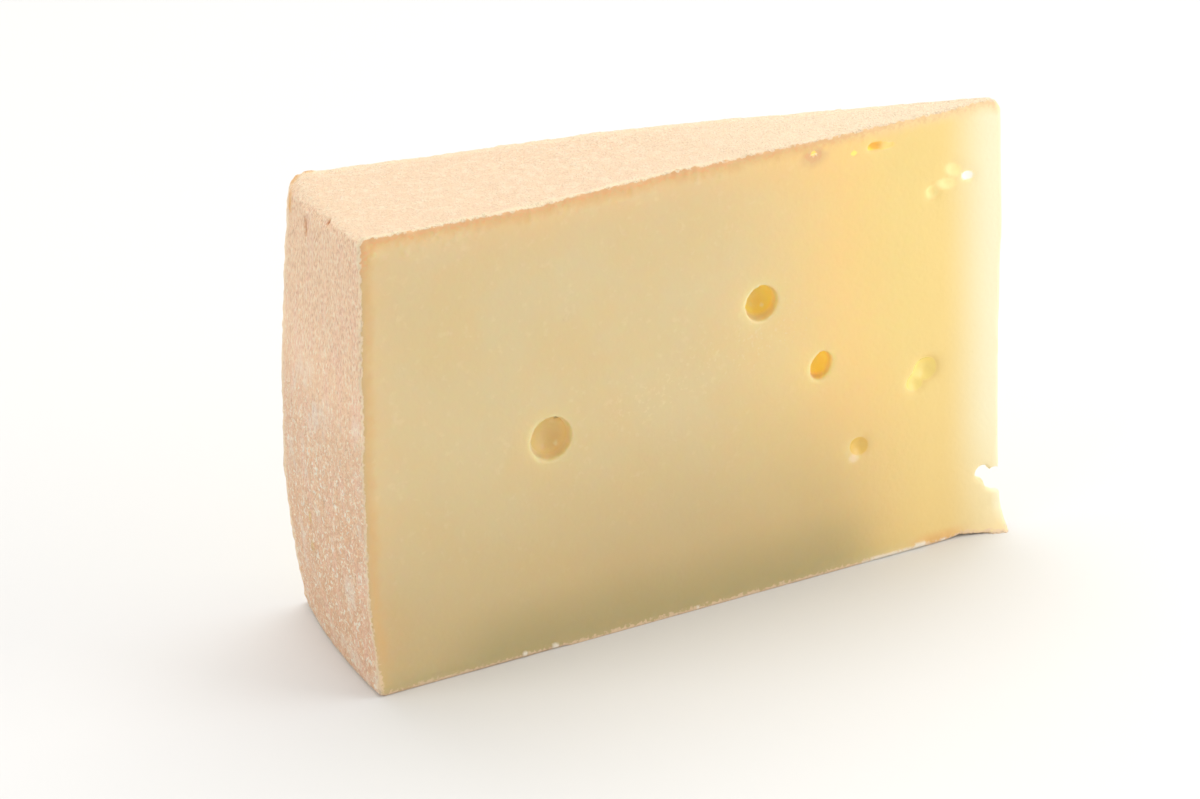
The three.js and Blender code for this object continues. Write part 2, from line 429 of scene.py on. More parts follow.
def rind_faces(mesh):
    """Which faces of the solid carry rind: the rim, the top and the underside."""
    centres = np.empty(len(mesh.polygons) * 3)
    normals = np.empty(len(mesh.polygons) * 3)
    mesh.polygons.foreach_get("center", centres)
    mesh.polygons.foreach_get("normal", normals)
    centres = centres.reshape(-1, 3) / MM
    normals = normals.reshape(-1, 3)
    outward = centres[:, :2] - np.array([AXIS_X, AXIS_Y])
    radius = np.linalg.norm(outward, axis=1)
    radial = (normals[:, :2] * outward).sum(axis=1) / np.maximum(radius, TINY)
    top = (normals[:, 2] > FLAT_ENOUGH) & (centres[:, 2] > TOP_FROM)
    bottom = (normals[:, 2] < -FLAT_ENOUGH) & (centres[:, 2] < BOTTOM_TO)
    rim = (radial > FLAT_ENOUGH) & (radius > RIM_FROM)
    return top | bottom | rim


def depth_below(mesh, chosen, points):
    """Distance in millimetres from each point to the chosen faces of the solid."""
    corners = [vertex.co for vertex in mesh.vertices]
    faces = [tuple(mesh.polygons[index].vertices) for index in np.flatnonzero(chosen)]
    tree = BVHTree.FromPolygons(corners, faces)
    depths = np.full(len(points), DEPTH_LIMIT)
    for index, point in enumerate(points * MM):
        distance = tree.find_nearest(point, DEPTH_LIMIT * MM)[3]
        if distance is not None:
            depths[index] = distance / MM
    return depths


def store(mesh, name, values):
    """Keeps one number for each vertex, for the material to read."""
    attribute = mesh.attributes.new(name, "FLOAT", "POINT")
    attribute.data.foreach_set("value", values.astype(np.float32))


def spots(points, centres):
    """1 at each centre, falling to 0 at its radius, and drawn out upright by its height share."""
    total = np.zeros(len(points))
    for centre, radius, share in centres:
        away = (points - np.asarray(centre)) / np.array([1.0, 1.0, share])
        distance = np.linalg.norm(away, axis=1)
        total = np.maximum(total, 1 - ease(distance, SPOT_CORE * radius, radius))
    return total


def lower_crumbs(points):
    """The loose crumbs, and the pale lip that thins out along the lower edge."""
    centres = [(place, radius, 1.0) for place, radius in CRUMBS]
    for along in np.arange(LIP_START, LIP_END, LIP_STEP):
        place = front_point(along, LIP_HEIGHT)
        ragged = 1 + LIP_RAGGED * smooth_noise(place[None, :], LIP_RAGGED_SIZE, SEEDS["lip"])[0]
        radius = ragged * (LIP_RADIUS - LIP_THINNING * (along - LIP_START))
        centres.append((place, radius, 1.0))
    return spots(points, centres)


def browned_burrs(points):
    """The browned burrs at the back of the rim, a little blotchy."""
    blotch = smooth_noise(points, BURR_BLOTCH_SIZE, SEEDS["burr"])
    return spots(points, BURRS) * (1 - BURR_BLOTCH + BURR_BLOTCH * blotch)


def scuffed(points):
    """1 along the faint scuff across the front cut, fading out beside it."""
    line = SCUFF_TO - SCUFF_FROM
    share = np.clip((points - SCUFF_FROM) @ line / (line @ line), 0, 1)
    distance = np.linalg.norm(points - SCUFF_FROM - share[:, None] * line, axis=1)
    return 1 - ease(distance, SCUFF_CORE * SCUFF_WIDTH, SCUFF_WIDTH)


def rind_relief(points, rim):
    """Height of the rind's own grain: short upright wrinkles on the rim, pimples and slow swells."""
    wrinkle = smooth_noise(points, WRINKLE_SIZE, SEEDS["wrinkle"])
    pimple = smooth_noise(points, PIMPLE_SIZE, SEEDS["pimple"])
    swell = smooth_noise(points, SWELL_SIZE, SEEDS["swell"])
    lump = smooth_noise(points, LUMP_SIZE, SEEDS["lump"])
    fine = (WRINKLE_HEIGHT + WRINKLE_RIM * rim) * wrinkle + PIMPLE_HEIGHT * pimple
    return fine + (SWELL_HEIGHT + SWELL_RIM * rim) * (swell + lump)


def cut_relief(points):
    """Height of the slow unevenness that the knife left on the cuts."""
    drag = smooth_noise(points, DRAG_SIZE, SEEDS["drag"])
    dimple = smooth_noise(points, DIMPLE_SIZE, SEEDS["dimple"])
    return DRAG_HEIGHT * drag + DIMPLE_HEIGHT * dimple


def fringe_share(points, into_cut):
    """1 where the top rind crumbles along the front cut, fading inwards and along the edge."""
    along = radius_of(points)
    stretch = ease(along, FRINGE_TO - FRINGE_FADE, FRINGE_TO)
    stretch *= 1 - ease(along, FRINGE_FROM, FRINGE_FROM + FRINGE_END)
    uneven = smooth_noise(points, FRINGE_UNEVEN_SIZE, SEEDS["fringe"])
    width = FRINGE_WIDTH * (FRINGE_MEAN + FRINGE_UNEVEN * uneven)
    across = 1 - ease(-into_cut, FRINGE_CORE * width, width)
    high = ease(points[:, 2], *TOP_FADE)
    on_top = high * (points[:, 1] < AXIS_Y)
    return across * on_top * (FRINGE_LEAST + (1 - FRINGE_LEAST) * stretch)


def edge_relief(points, into_cut, fringe):
    """How the edge between rind and cut is ragged, with grains standing up beside it."""
    near = np.exp(-np.abs(into_cut) / EDGE_REACH)
    wave = smooth_noise(points, EDGE_WAVE_SIZE, SEEDS["edge wave"])
    tooth = smooth_noise(points, EDGE_TOOTH_SIZE, SEEDS["edge tooth"])
    ragged = EDGE_WAVE_HEIGHT * wave + EDGE_TOOTH_HEIGHT * tooth
    at_front = np.where(points[:, 1] < AXIS_Y, 1.0, EDGE_AT_BACK)
    beside = np.exp(-((into_cut + GRAIN_BESIDE) / GRAIN_BESIDE) ** 2)
    grains = np.clip(smooth_noise(points, GRAIN_SIZE, SEEDS["grains"]), 0, 1)
    edge = at_front * (near * ragged + GRAIN_HEIGHT * beside * grains)
    return edge + FRINGE_HEIGHT * fringe * grains


def find_marks(points, into_cut):
    """How much of each mark there is at every point, by the mark's name."""
    return {
        "crumb": lower_crumbs(points),
        "burr": browned_burrs(points),
        "scar": spots(points, RIM_SCARS),
        "pit": spots(points, RIM_PITS),
        "pinhole": spots(points, [(PINHOLE, 2 * PINHOLE_RADIUS, 1.0)]),
        "torn": inside_eyes(points, TORN_PATCH, FRONT_SIDE),
        "slit": inside_eyes(points, SLIT, FRONT_SIDE),
        "fringe": fringe_share(points, into_cut),
    }


def relief(points, into_cut, rim, marks):
    """How far each point moves outwards, in millimetres."""
    on_rind = 1 - ease(into_cut, *RIND_FADE)
    on_cut = ease(into_cut, *CUT_FADE)
    away_from_point = ease(radius_of(points), *POINT_FADE)
    tears = ease(marks["torn"], *TORN_RIM) * smooth_noise(points, TORN_SIZE, SEEDS["torn"])
    height = (
        on_rind * rind_relief(points, rim)
        + on_cut * cut_relief(points)
        + edge_relief(points, into_cut, marks["fringe"]) * away_from_point
        + TORN_HEIGHT * tears
        + CRUMB_HEIGHT * marks["crumb"]
        + BURR_HEIGHT * marks["burr"]
        + SCAR_HEIGHT * marks["scar"]
        - PIT_DEPTH * marks["pit"]
        - PINHOLE_DEPTH * marks["pinhole"]
        - SLIT_DEPTH * ease(marks["slit"], *SLIT_RIM)
    )
    return height * ease(points[:, 2], *UNDERSIDE_FADE)


def dress(piece, solid):
    """Gives the copy its relief and the attributes that its material reads."""
    mesh = piece.data
    points = read_points(mesh)
    normals = read_normals(mesh)
    rind = rind_faces(solid)
    into_cut = depth_below(solid, rind, points) - depth_below(solid, ~rind, points)
    rim = 1 - ease(np.abs(normals[:, 2]), *UPRIGHT_FADE)
    marks = find_marks(points, into_cut)
    moved = points + normals * relief(points, into_cut, rim, marks)[:, None]
    moved[:, 2] = np.maximum(moved[:, 2], 0.0)
    write_points(mesh, moved)
    front_hollow = inside_eyes(points, FRONT_EYES + SLIT, FRONT_SIDE)
    back_hollow = inside_eyes(points, BACK_EYES, BACK_SIDE)
    for name, values in (
        ("into_cut", into_cut),
        ("along", radius_of(points)),
        ("hollow", np.maximum(front_hollow, back_hollow)),
        ("torn", ease(marks["torn"], *TORN_STAIN)),
        ("painted_white_light", ease(inside_eyes(points, WHITE_LIGHT_SPOT, FRONT_SIDE), *WHITE_LIGHT_FADE)),
        ("crumb", ease(marks["crumb"], *CRUMB_STAIN)),
        ("slit", ease(marks["slit"], *SLIT_STAIN)),
        ("painted_glint", spots(points, PAINTED_GLINTS)),
        ("pale", spots(points, PALE_PATCH)),
        ("pit", marks["pit"]),
        ("scar", marks["scar"]),
        ("burr", marks["burr"]),
        ("scuff", scuffed(points)),
        ("rim", rim),
        ("fringe", marks["fringe"]),
    ):
        store(mesh, name, values)
    mesh.polygons.foreach_set("use_smooth", np.ones(len(mesh.polygons), dtype=bool))


def add(tree, kind, inputs=None, **settings):
    """A node with its settings, whose inputs are values or the outputs of other nodes."""
    node = tree.nodes.new(kind)
    for name, value in settings.items():
        setattr(node, name, value)
    for key, value in (inputs or {}).items():
        if isinstance(value, bpy.types.NodeSocket):
            tree.links.new(value, node.inputs[key])
        else:
            node.inputs[key].default_value = value
    return node


def ramp(tree, value, start, end, low=0.0, high=1.0):
    """Maps a value smoothly from the range start to end onto low to high."""
    inputs = {"Value": value, "From Min": start, "From Max": end, "To Min": low, "To Max": high}
    return add(tree, "ShaderNodeMapRange", inputs, interpolation_type="SMOOTHSTEP").outputs["Result"]


def maths(tree, operation, first, second):
    """The result of a sum, product or the like of two numbers."""
    return add(tree, "ShaderNodeMath", {0: first, 1: second}, operation=operation).outputs[0]


def mixed(tree, share, first, second):
    """One colour turning into another."""
    return add(tree, "ShaderNodeMix", {0: share, 6: first, 7: second}, data_type="RGBA").outputs[2]


def blended(tree, share, first, second):
    """One number turning into another."""
    return add(tree, "ShaderNodeMix", {0: share, 2: first, 3: second}, data_type="FLOAT").outputs[0]


def colour(red, green, blue):
    """An opaque colour."""
    return (red, green, blue, 1.0)


def noise(tree, place, size, detail=2.0, stretch=None, roughness=0.5, distortion=0.0):
    """Noise from 0 to 1 whose bumps are about size millimetres across."""
    if stretch is not None:
        inputs = {0: place, 1: stretch}
        place = add(tree, "ShaderNodeVectorMath", inputs, operation="MULTIPLY").outputs[0]
    inputs = {
        "Vector": place,
        "Scale": 1.0 / size,
        "Detail": detail,
        "Roughness": roughness,
        "Distortion": distortion,
    }
    return add(tree, "ShaderNodeTexNoise", inputs).outputs["Fac"]


def millimetres(tree):
    """The surface point in the frame of the solid, in millimetres."""
    place = add(tree, "ShaderNodeTexCoord").outputs["Object"]
    inputs = {0: place, "Scale": 1.0 / MM}
    return add(tree, "ShaderNodeVectorMath", inputs, operation="SCALE").outputs[0]


def attribute(tree, name):
    """The number stored under a name at each vertex."""
    return add(tree, "ShaderNodeAttribute", attribute_name=name).outputs["Fac"]


PASTE = colour(0.79, 0.65, 0.375)
PASTE_DEEP = colour(0.80, 0.635, 0.345)
PASTE_PALE = colour(0.88, 0.74, 0.47)
# Painted shade, low on the cut
PASTE_SHADE_LOW = colour(0.62, 0.465, 0.235)
# Painted shade, along the foot of the cut
PASTE_FOOT_SHADE = colour(0.50, 0.415, 0.205)
# Painted light coming through the thin paste: brighter towards the thin end and near white at the point
PASTE_THIN_GLOW = colour(0.97, 0.72, 0.285)
PASTE_POINT_GLOW = colour(1.0, 0.91, 0.63)
PASTE_RUBBED = colour(0.92, 0.78, 0.56)
PASTE_TOASTED = colour(0.86, 0.52, 0.19)
EYE = colour(0.92, 0.71, 0.32)
EYE_LOW = colour(0.87, 0.60, 0.165)
# Painted light in the walls of the eyes, towards the thin end and near the point
EYE_THIN_GLOW = colour(1.0, 0.79, 0.21)
EYE_POINT_GLOW = colour(1.0, 0.81, 0.30)
TORN = colour(1.0, 0.83, 0.40)
SLIT_WALL = colour(0.97, 0.66, 0.24)
# Painted highlight, the glints in the eyes
PAINTED_GLINT = colour(1.0, 0.86, 0.48)
# Painted light, the bright spot in the torn patch
PAINTED_WHITE_LIGHT = colour(1.0, 1.0, 0.96)
BAND = colour(0.74, 0.495, 0.235)
BAND_THIN = colour(1.0, 0.74, 0.40)
BROWN_LINE = colour(0.83, 0.46, 0.23)
LOW_EDGE = colour(0.92, 0.68, 0.46)
RIND_TOP = colour(0.95, 0.70, 0.48)
RIND_CREAM = colour(0.98, 0.79, 0.57)
RIND_PALE = colour(0.97, 0.78, 0.55)
RIND = colour(0.94, 0.655, 0.435)
RIND_LOW = colour(0.85, 0.525, 0.32)
RIND_PINK = colour(0.93, 0.60, 0.44)
# Painted shade in the crevices of the rind's grain, and painted highlights on its flecks
RIND_CREVICE_SHADE = colour(0.68, 0.42, 0.28)
RIND_FLECK_HIGHLIGHT = colour(1.0, 0.87, 0.67)
RIND_FLAKE = colour(1.0, 0.91, 0.76)
RIND_BLOOM = colour(0.95, 0.81, 0.67)
# The pale, dry edge of the rind, and the painted highlight along its back edge
EDGE_PALE_AND_HIGHLIGHT = colour(1.0, 0.80, 0.56)
FRINGE = colour(1.0, 0.82, 0.57)
CRUMB = colour(0.98, 0.89, 0.75)
PIT = colour(0.60, 0.25, 0.11)
SCAR = colour(0.84, 0.58, 0.28)
BURR = colour(0.87, 0.49, 0.20)
# Painted shade in the pinhole
PINHOLE_SHADE = colour(0.16, 0.09, 0.03)

# Painted glow: emission that stands in for light coming through the walls of the hollows where the paste is
# thin
GLOW = colour(1.0, 0.6, 0.05)
GLOW_EYES = 0.15
GLOW_SLIT = 0.15
GLOW_TORN = 0.09

# How far light travels in the paste, in millimetres, and its share in red, green and blue
SCATTER_LENGTH = 5.0
SCATTER_PASTE = colour(1.5, 0.9, 0.5)
SCATTER_HOLLOW = colour(1.6, 0.9, 0.4)
SCATTER_THIN = colour(0.14, 0.13, 0.11)

# The noise behind each pattern: the size of its bumps in millimetres and their kind
UPRIGHT = (1.0, 1.0, 0.7)
PASTE_MOTTLE = {"size": 14.0, "detail": 3.0}
PASTE_FLECKS = {"size": 1.6, "detail": 3.0}
PASTE_FINE = {"size": 0.8, "detail": 4.0}
SCUFF_SPECKS = {"size": 0.7, "detail": 1.0}
RIND_MOTTLE = {"size": 1.5, "detail": 4.0}
RIND_STREAKS = {"size": 2.6, "detail": 3.0, "stretch": (1.0, 1.0, 0.3)}
RIND_PATCHES = {"size": 4.5, "detail": 3.0, "stretch": UPRIGHT}
RIND_FLAKES = {"size": 0.9, "detail": 1.0, "distortion": 0.8}
DASHES = {"size": 0.36, "detail": 2.0, "stretch": (1.0, 1.0, 0.4), "roughness": 0.55}
WRINKLES = {"size": 0.65, "detail": 3.0, "stretch": UPRIGHT, "roughness": 0.65, "distortion": 1.5}

# How uneven each edge is: the size of its waves and how far they reach, in millimetres, and their detail
BAND_WAVES = (3.0, 0.35)
LINE_WAVES = (0.7, 0.5)
PALE_WAVES = (0.9, 0.45)
CUT_WAVES = (0.9, 0.25)
WAVE_DETAIL = 3.0

# The strength of the rubbed patch, the pinhole's soft edge in radii, and the gloss and bumps of the surface
RUBBED_SHARE = 0.5
PINHOLE_RIM = 1.3
PINHOLE_CORE = 0.7
BUMP_DEPTH = 0.7
RIND_ROUGHNESS = 0.85
CUT_ROUGHNESS = 0.5
HOLLOW_SMOOTHER = 0.32
SPECULAR = 0.35

# Ramps of the material: where each starts and ends and, if not 0 and 1, its values there.
# Lengths are in millimetres: along from the wheel's axis, up from the underside, into the cut from the rind.
PASTE_MOTTLED = (0.35, 0.65)
PASTE_FLECKED = (0.58, 0.75, 0.0, 0.3)
THIN_ALONG = (64.0, 14.0)
SHADED_UP = (46.0, 4.0, 0.0, 0.8)
SHADED_FROM_POINT = (12.0, 40.0, 0.25)
SHADED_FROM_RIM = (105.0, 70.0, 0.75)
FOOT_UP = (14.0, 3.0, 0.0, 0.6)
FOOT_FROM_POINT = (22.0, 36.0)
FOOT_FROM_RIM = (112.0, 96.0)
POINT_GLOW_ALONG = (12.0, 0.5)
POINT_GLOW_UP = (4.0, 24.0, 0.55)
TIP_ALONG = (4.5, 0.5)
SPECKLED = (0.6, 0.72, 0.0, 0.4)
LOW_UP = (10.0, 3.0)
BAND_ALONG = (45.0, 12.0)
BAND_INTO = (0.5, 3.0, 1.0, 0.0)
BAND_LOW = (0.0, 1.0, 0.8, 0.35)
LINE_INTO = (0.3, 1.4, 0.75, 0.0)
LINE_UP = (74.0, 77.0)
LINE_ALONG = (8.0, 60.0, 0.45)
TOASTED_UP = (3.0, 1.0, 0.0, 0.85)
TOASTED_FROM_RIM = (20.0, 14.0)
TOASTED_FROM_POINT = (6.0, 11.0)
LOW_EDGE_INTO = (0.3, 0.8, 0.8, 0.0)
EYE_THIN_ALONG = (90.0, 40.0)
EYE_LOW_UP = (30.0, 25.0)
EYE_POINT_ALONG = (24.0, 16.0)
WRINKLED_UP = (62.0, 40.0, 0.0, 0.8)
RIND_LOW_UP = (62.0, 8.0)
STREAKED = (0.45, 0.68, 0.0, 0.6)
BLOOMING = (0.52, 0.7, 0.0, 0.6)
BLOOM_UP = (56.0, 46.0)
RIND_MOTTLED = (0.45, 0.68, 0.0, 0.8)
RIND_PALE_ALONG = (75.0, 15.0)
RIM_CONTRAST = (0.0, 1.0, 0.45)
CREVICED = (0.47, 0.36, 0.0, 0.6)
FLECKED = (0.52, 0.6, 0.0, 0.9)
FLECKS_UP = (66.0, 44.0, 0.65)
FLAKED = (0.6, 0.68, 0.0, 0.85)
FLAKES_UP = (52.0, 34.0)
PALE_INTO = (-0.9, -0.2, 0.0, 0.85)
BACK_ACROSS = (0.0, 4.0)
BACK_HIGHLIGHT_INTO = (-3.2, -0.6, 0.0, 0.7)
GLOW_FROM_RIM = (52.0, 36.0)
GLOW_FROM_POINT = (18.0, 26.0, 0.4)
GLOW_UP = (28.0, 36.0, 0.0, GLOW_EYES)
SCATTER_INTO = (0.3, 1.6, 0.08)
SCATTER_ALONG = (8.0, 34.0, 0.2)
SCATTER_OPAQUE = (0.0, 0.5, 1.0, 0.0)
SCATTER_WALLS = (20.0, 44.0, 0.0, 0.65)
SCATTER_THIN_ALONG = (32.0, 12.0)
FINE_HEIGHT = (0.0, 1.0, 0.46, 0.54)
HOLLOW_SHARE = (0.02, 0.4)
CUT_INTO = (-0.15, 0.25)
WAVE_NOISE = (0.3, 0.7)


def products(tree, first, *others):
    """The product of several shares."""
    for other in others:
        first = maths(tree, "MULTIPLY", first, other)
    return first


def largest(tree, first, *others):
    """The largest of several shares."""
    for other in others:
        first = maths(tree, "MAXIMUM", first, other)
    return first


def near_edge(tree, place, into_cut, waves):
    """Distance into the cut, made uneven so that the edge of the rind looks crumbly."""
    size, reach = waves
    uneven = ramp(tree, noise(tree, place, size, detail=WAVE_DETAIL), *WAVE_NOISE, -reach, reach)
    return maths(tree, "ADD", into_cut, uneven)


def plain_paste(tree, place, up, along):
    """Ivory paste, with painted shade low down and along the foot, and painted light coming through where it
    is thin and at the point.
    """
    mottle = noise(tree, place, **PASTE_MOTTLE)
    base = mixed(tree, ramp(tree, mottle, *PASTE_MOTTLED), PASTE, PASTE_DEEP)
    fleck = noise(tree, place, **PASTE_FLECKS)
    base = mixed(tree, ramp(tree, fleck, *PASTE_FLECKED), base, PASTE_PALE)
    # Painted light: brighter, yellower paste towards the thin end
    base = mixed(tree, ramp(tree, along, *THIN_ALONG), base, PASTE_THIN_GLOW)
    # Painted shade: darker towards the bottom of the cut, with less of it near the point and near the rim
    shaded = products(
        tree,
        ramp(tree, up, *SHADED_UP),
        ramp(tree, along, *SHADED_FROM_POINT),
        ramp(tree, along, *SHADED_FROM_RIM),
    )
    base = mixed(tree, shaded, base, PASTE_SHADE_LOW)
    # Painted shade along the foot of the cut, away from the point and the rim
    foot_shade = products(
        tree,
        ramp(tree, up, *FOOT_UP),
        ramp(tree, along, *FOOT_FROM_POINT),
        ramp(tree, along, *FOOT_FROM_RIM),
    )
    base = mixed(tree, foot_shade, base, PASTE_FOOT_SHADE)
    # Painted light at the point, near white where the paste is thinnest
    clear = products(tree, ramp(tree, along, *POINT_GLOW_ALONG), ramp(tree, up, *POINT_GLOW_UP))
    clear = largest(tree, clear, ramp(tree, along, *TIP_ALONG))
    return mixed(tree, clear, base, PASTE_POINT_GLOW)


def rubbed_paste(tree, place, base):
    """A rubbed pale patch and the pale specks of the scuff over the paste."""
    base = mixed(tree, products(tree, attribute(tree, "pale"), RUBBED_SHARE), base, PASTE_RUBBED)
    speck = ramp(tree, noise(tree, place, **SCUFF_SPECKS), *SPECKLED)
    return mixed(tree, products(tree, speck, attribute(tree, "scuff")), base, PASTE_PALE)


def paste_edges(tree, place, up, along, into_cut, base):
    """The browner band under the rind, the brown line at the top and the toasted lower edge."""
    low = ramp(tree, up, *LOW_UP)
    band = mixed(tree, ramp(tree, along, *BAND_ALONG), BAND, BAND_THIN)
    wide = near_edge(tree, place, into_cut, BAND_WAVES)
    strength = ramp(tree, low, *BAND_LOW)
    base = mixed(tree, products(tree, ramp(tree, wide, *BAND_INTO), strength), base, band)
    thin = near_edge(tree, place, into_cut, LINE_WAVES)
    line = products(
        tree,
        ramp(tree, thin, *LINE_INTO),
        ramp(tree, up, *LINE_UP),
        ramp(tree, along, *LINE_ALONG),
    )
    base = mixed(tree, line, base, BROWN_LINE)
    toasted = products(
        tree,
        ramp(tree, up, *TOASTED_UP),
        ramp(tree, along, *TOASTED_FROM_RIM),
        ramp(tree, along, *TOASTED_FROM_POINT),
    )
    base = mixed(tree, toasted, base, PASTE_TOASTED)
    rind_under = products(tree, ramp(tree, thin, *LOW_EDGE_INTO), low)
    return mixed(tree, rind_under, base, LOW_EDGE)


def paste_colour(tree, place, up, into_cut):
    """The whole colour of the cuts outside their eyes."""
    along = attribute(tree, "along")
    base = plain_paste(tree, place, up, along)
    base = rubbed_paste(tree, place, base)
    return paste_edges(tree, place, up, along, into_cut, base)


def hollow_colour(tree, up):
    """The walls of the eyes, with painted light coming through the thin paste: deeper yellow towards the
    thin end and paler near the point.
    """
    along = attribute(tree, "along")
    wall = mixed(tree, ramp(tree, along, *EYE_THIN_ALONG), EYE, EYE_THIN_GLOW)
    wall = mixed(tree, ramp(tree, up, *EYE_LOW_UP), wall, EYE_LOW)
    return mixed(tree, ramp(tree, along, *EYE_POINT_ALONG), wall, EYE_POINT_GLOW)


def rind_grain(tree, place, up):
    """The rind's fine grain: upright dashes on the top and high on the rim, wormy wrinkles lower."""
    dashes = noise(tree, place, **DASHES)
    wrinkles = noise(tree, place, **WRINKLES)
    return blended(tree, ramp(tree, up, *WRINKLED_UP), dashes, wrinkles)


def upright_rind(tree, place, up):
    """The rim: peach with pink streaks, deeper low down, with patches of pale bloom."""
    base = mixed(tree, ramp(tree, up, *RIND_LOW_UP), RIND, RIND_LOW)
    streak = noise(tree, place, **RIND_STREAKS)
    base = mixed(tree, ramp(tree, streak, *STREAKED), base, RIND_PINK)
    patch = noise(tree, place, **RIND_PATCHES)
    bloom = products(tree, ramp(tree, patch, *BLOOMING), ramp(tree, up, *BLOOM_UP))
    return mixed(tree, bloom, base, RIND_BLOOM)


def flat_rind(tree, place):
    """The top: peach mottled with cream, paler towards the point."""
    mottle = noise(tree, place, **RIND_MOTTLE)
    base = mixed(tree, ramp(tree, mottle, *RIND_MOTTLED), RIND_TOP, RIND_CREAM)
    return mixed(tree, ramp(tree, attribute(tree, "along"), *RIND_PALE_ALONG), base, RIND_PALE)


def grained_rind(tree, place, up, rim, grain, base):
    """Painted shade in the crevices and painted highlights on the flecks of the rind's grain, with larger
    pale flakes low on the rim.
    """
    contrast = ramp(tree, rim, *RIM_CONTRAST)
    # Painted shade in the crevices of the grain
    crevice_shade = products(tree, ramp(tree, grain, *CREVICED), contrast)
    base = mixed(tree, crevice_shade, base, RIND_CREVICE_SHADE)
    # Painted highlights on the raised flecks of the grain
    light = products(
        tree,
        ramp(tree, grain, *FLECKED),
        contrast,
        ramp(tree, up, *FLECKS_UP),
    )
    base = mixed(tree, light, base, RIND_FLECK_HIGHLIGHT)
    flake = ramp(tree, noise(tree, place, **RIND_FLAKES), *FLAKED)
    return mixed(tree, products(tree, flake, ramp(tree, up, *FLAKES_UP), rim), base, RIND_FLAKE)


def rind_colour(tree, place, up, into_cut, grain):
    """Peach rind with a pale, dry edge and a painted highlight along its back edge, creamier on the top and
    crumbly along the front cut.
    """
    rim = attribute(tree, "rim")
    base = mixed(tree, rim, flat_rind(tree, place), upright_rind(tree, place, up))
    base = grained_rind(tree, place, up, rim, grain, base)
    ragged = near_edge(tree, place, into_cut, PALE_WAVES)
    edge = products(tree, ramp(tree, ragged, *PALE_INTO), rim)
    # Painted highlight along the back edge of the rim
    at_back = ramp(tree, add(tree, "ShaderNodeSeparateXYZ", {0: place}).outputs["Y"], *BACK_ACROSS)
    back_highlight = products(tree, ramp(tree, into_cut, *BACK_HIGHLIGHT_INTO), at_back)
    base = mixed(tree, largest(tree, edge, back_highlight), base, EDGE_PALE_AND_HIGHLIGHT)
    return mixed(tree, attribute(tree, "fringe"), base, FRINGE)


def pinhole(tree, place):
    """1 in the pinhole over the large eye, where painted shade darkens it."""
    inputs = {0: place, 1: PINHOLE}
    distance = add(tree, "ShaderNodeVectorMath", inputs, operation="DISTANCE").outputs["Value"]
    return ramp(tree, distance, PINHOLE_RIM * PINHOLE_RADIUS, PINHOLE_CORE * PINHOLE_RADIUS)


def light_through(tree, up, hollow, torn, slit):
    """How strongly the painted glow, standing in for light coming through the thin paste, shows behind an
    eye, a tear or a slit.
    """
    along = attribute(tree, "along")
    eyes = products(
        tree,
        ramp(tree, along, *GLOW_FROM_RIM),
        ramp(tree, along, *GLOW_FROM_POINT),
        ramp(tree, up, *GLOW_UP),
        hollow,
    )
    tears = products(tree, torn, GLOW_TORN)
    slits = products(tree, slit, GLOW_SLIT)
    return largest(tree, tears, slits, eyes)


def scatter_share(tree, into_cut, hollow, opaque):
    """How much of the light goes into the paste: less at the edges, near the point and in the hollows."""
    along = attribute(tree, "along")
    return products(
        tree,
        ramp(tree, into_cut, *SCATTER_INTO),
        ramp(tree, along, *SCATTER_ALONG),
        ramp(tree, opaque, *SCATTER_OPAQUE),
        blended(tree, hollow, 1.0, ramp(tree, along, *SCATTER_WALLS)),
    )


def scatter_radius(tree, hollow):
    """How far light travels: further in the walls of the eyes, less and evenly near the point."""
    walls = mixed(tree, hollow, SCATTER_PASTE, SCATTER_HOLLOW)
    return mixed(tree, ramp(tree, attribute(tree, "along"), *SCATTER_THIN_ALONG), walls, SCATTER_THIN)


def fine_bump(tree, place, on_cut, grain):
    """The normal, roughened by the grain of the rind and the fine texture of the cut."""
    fine = ramp(tree, noise(tree, place, **PASTE_FINE), *FINE_HEIGHT)
    height = blended(tree, on_cut, grain, fine)
    inputs = {"Height": height, "Strength": 1.0, "Distance": BUMP_DEPTH * MM}
    return add(tree, "ShaderNodeBump", inputs).outputs["Normal"]


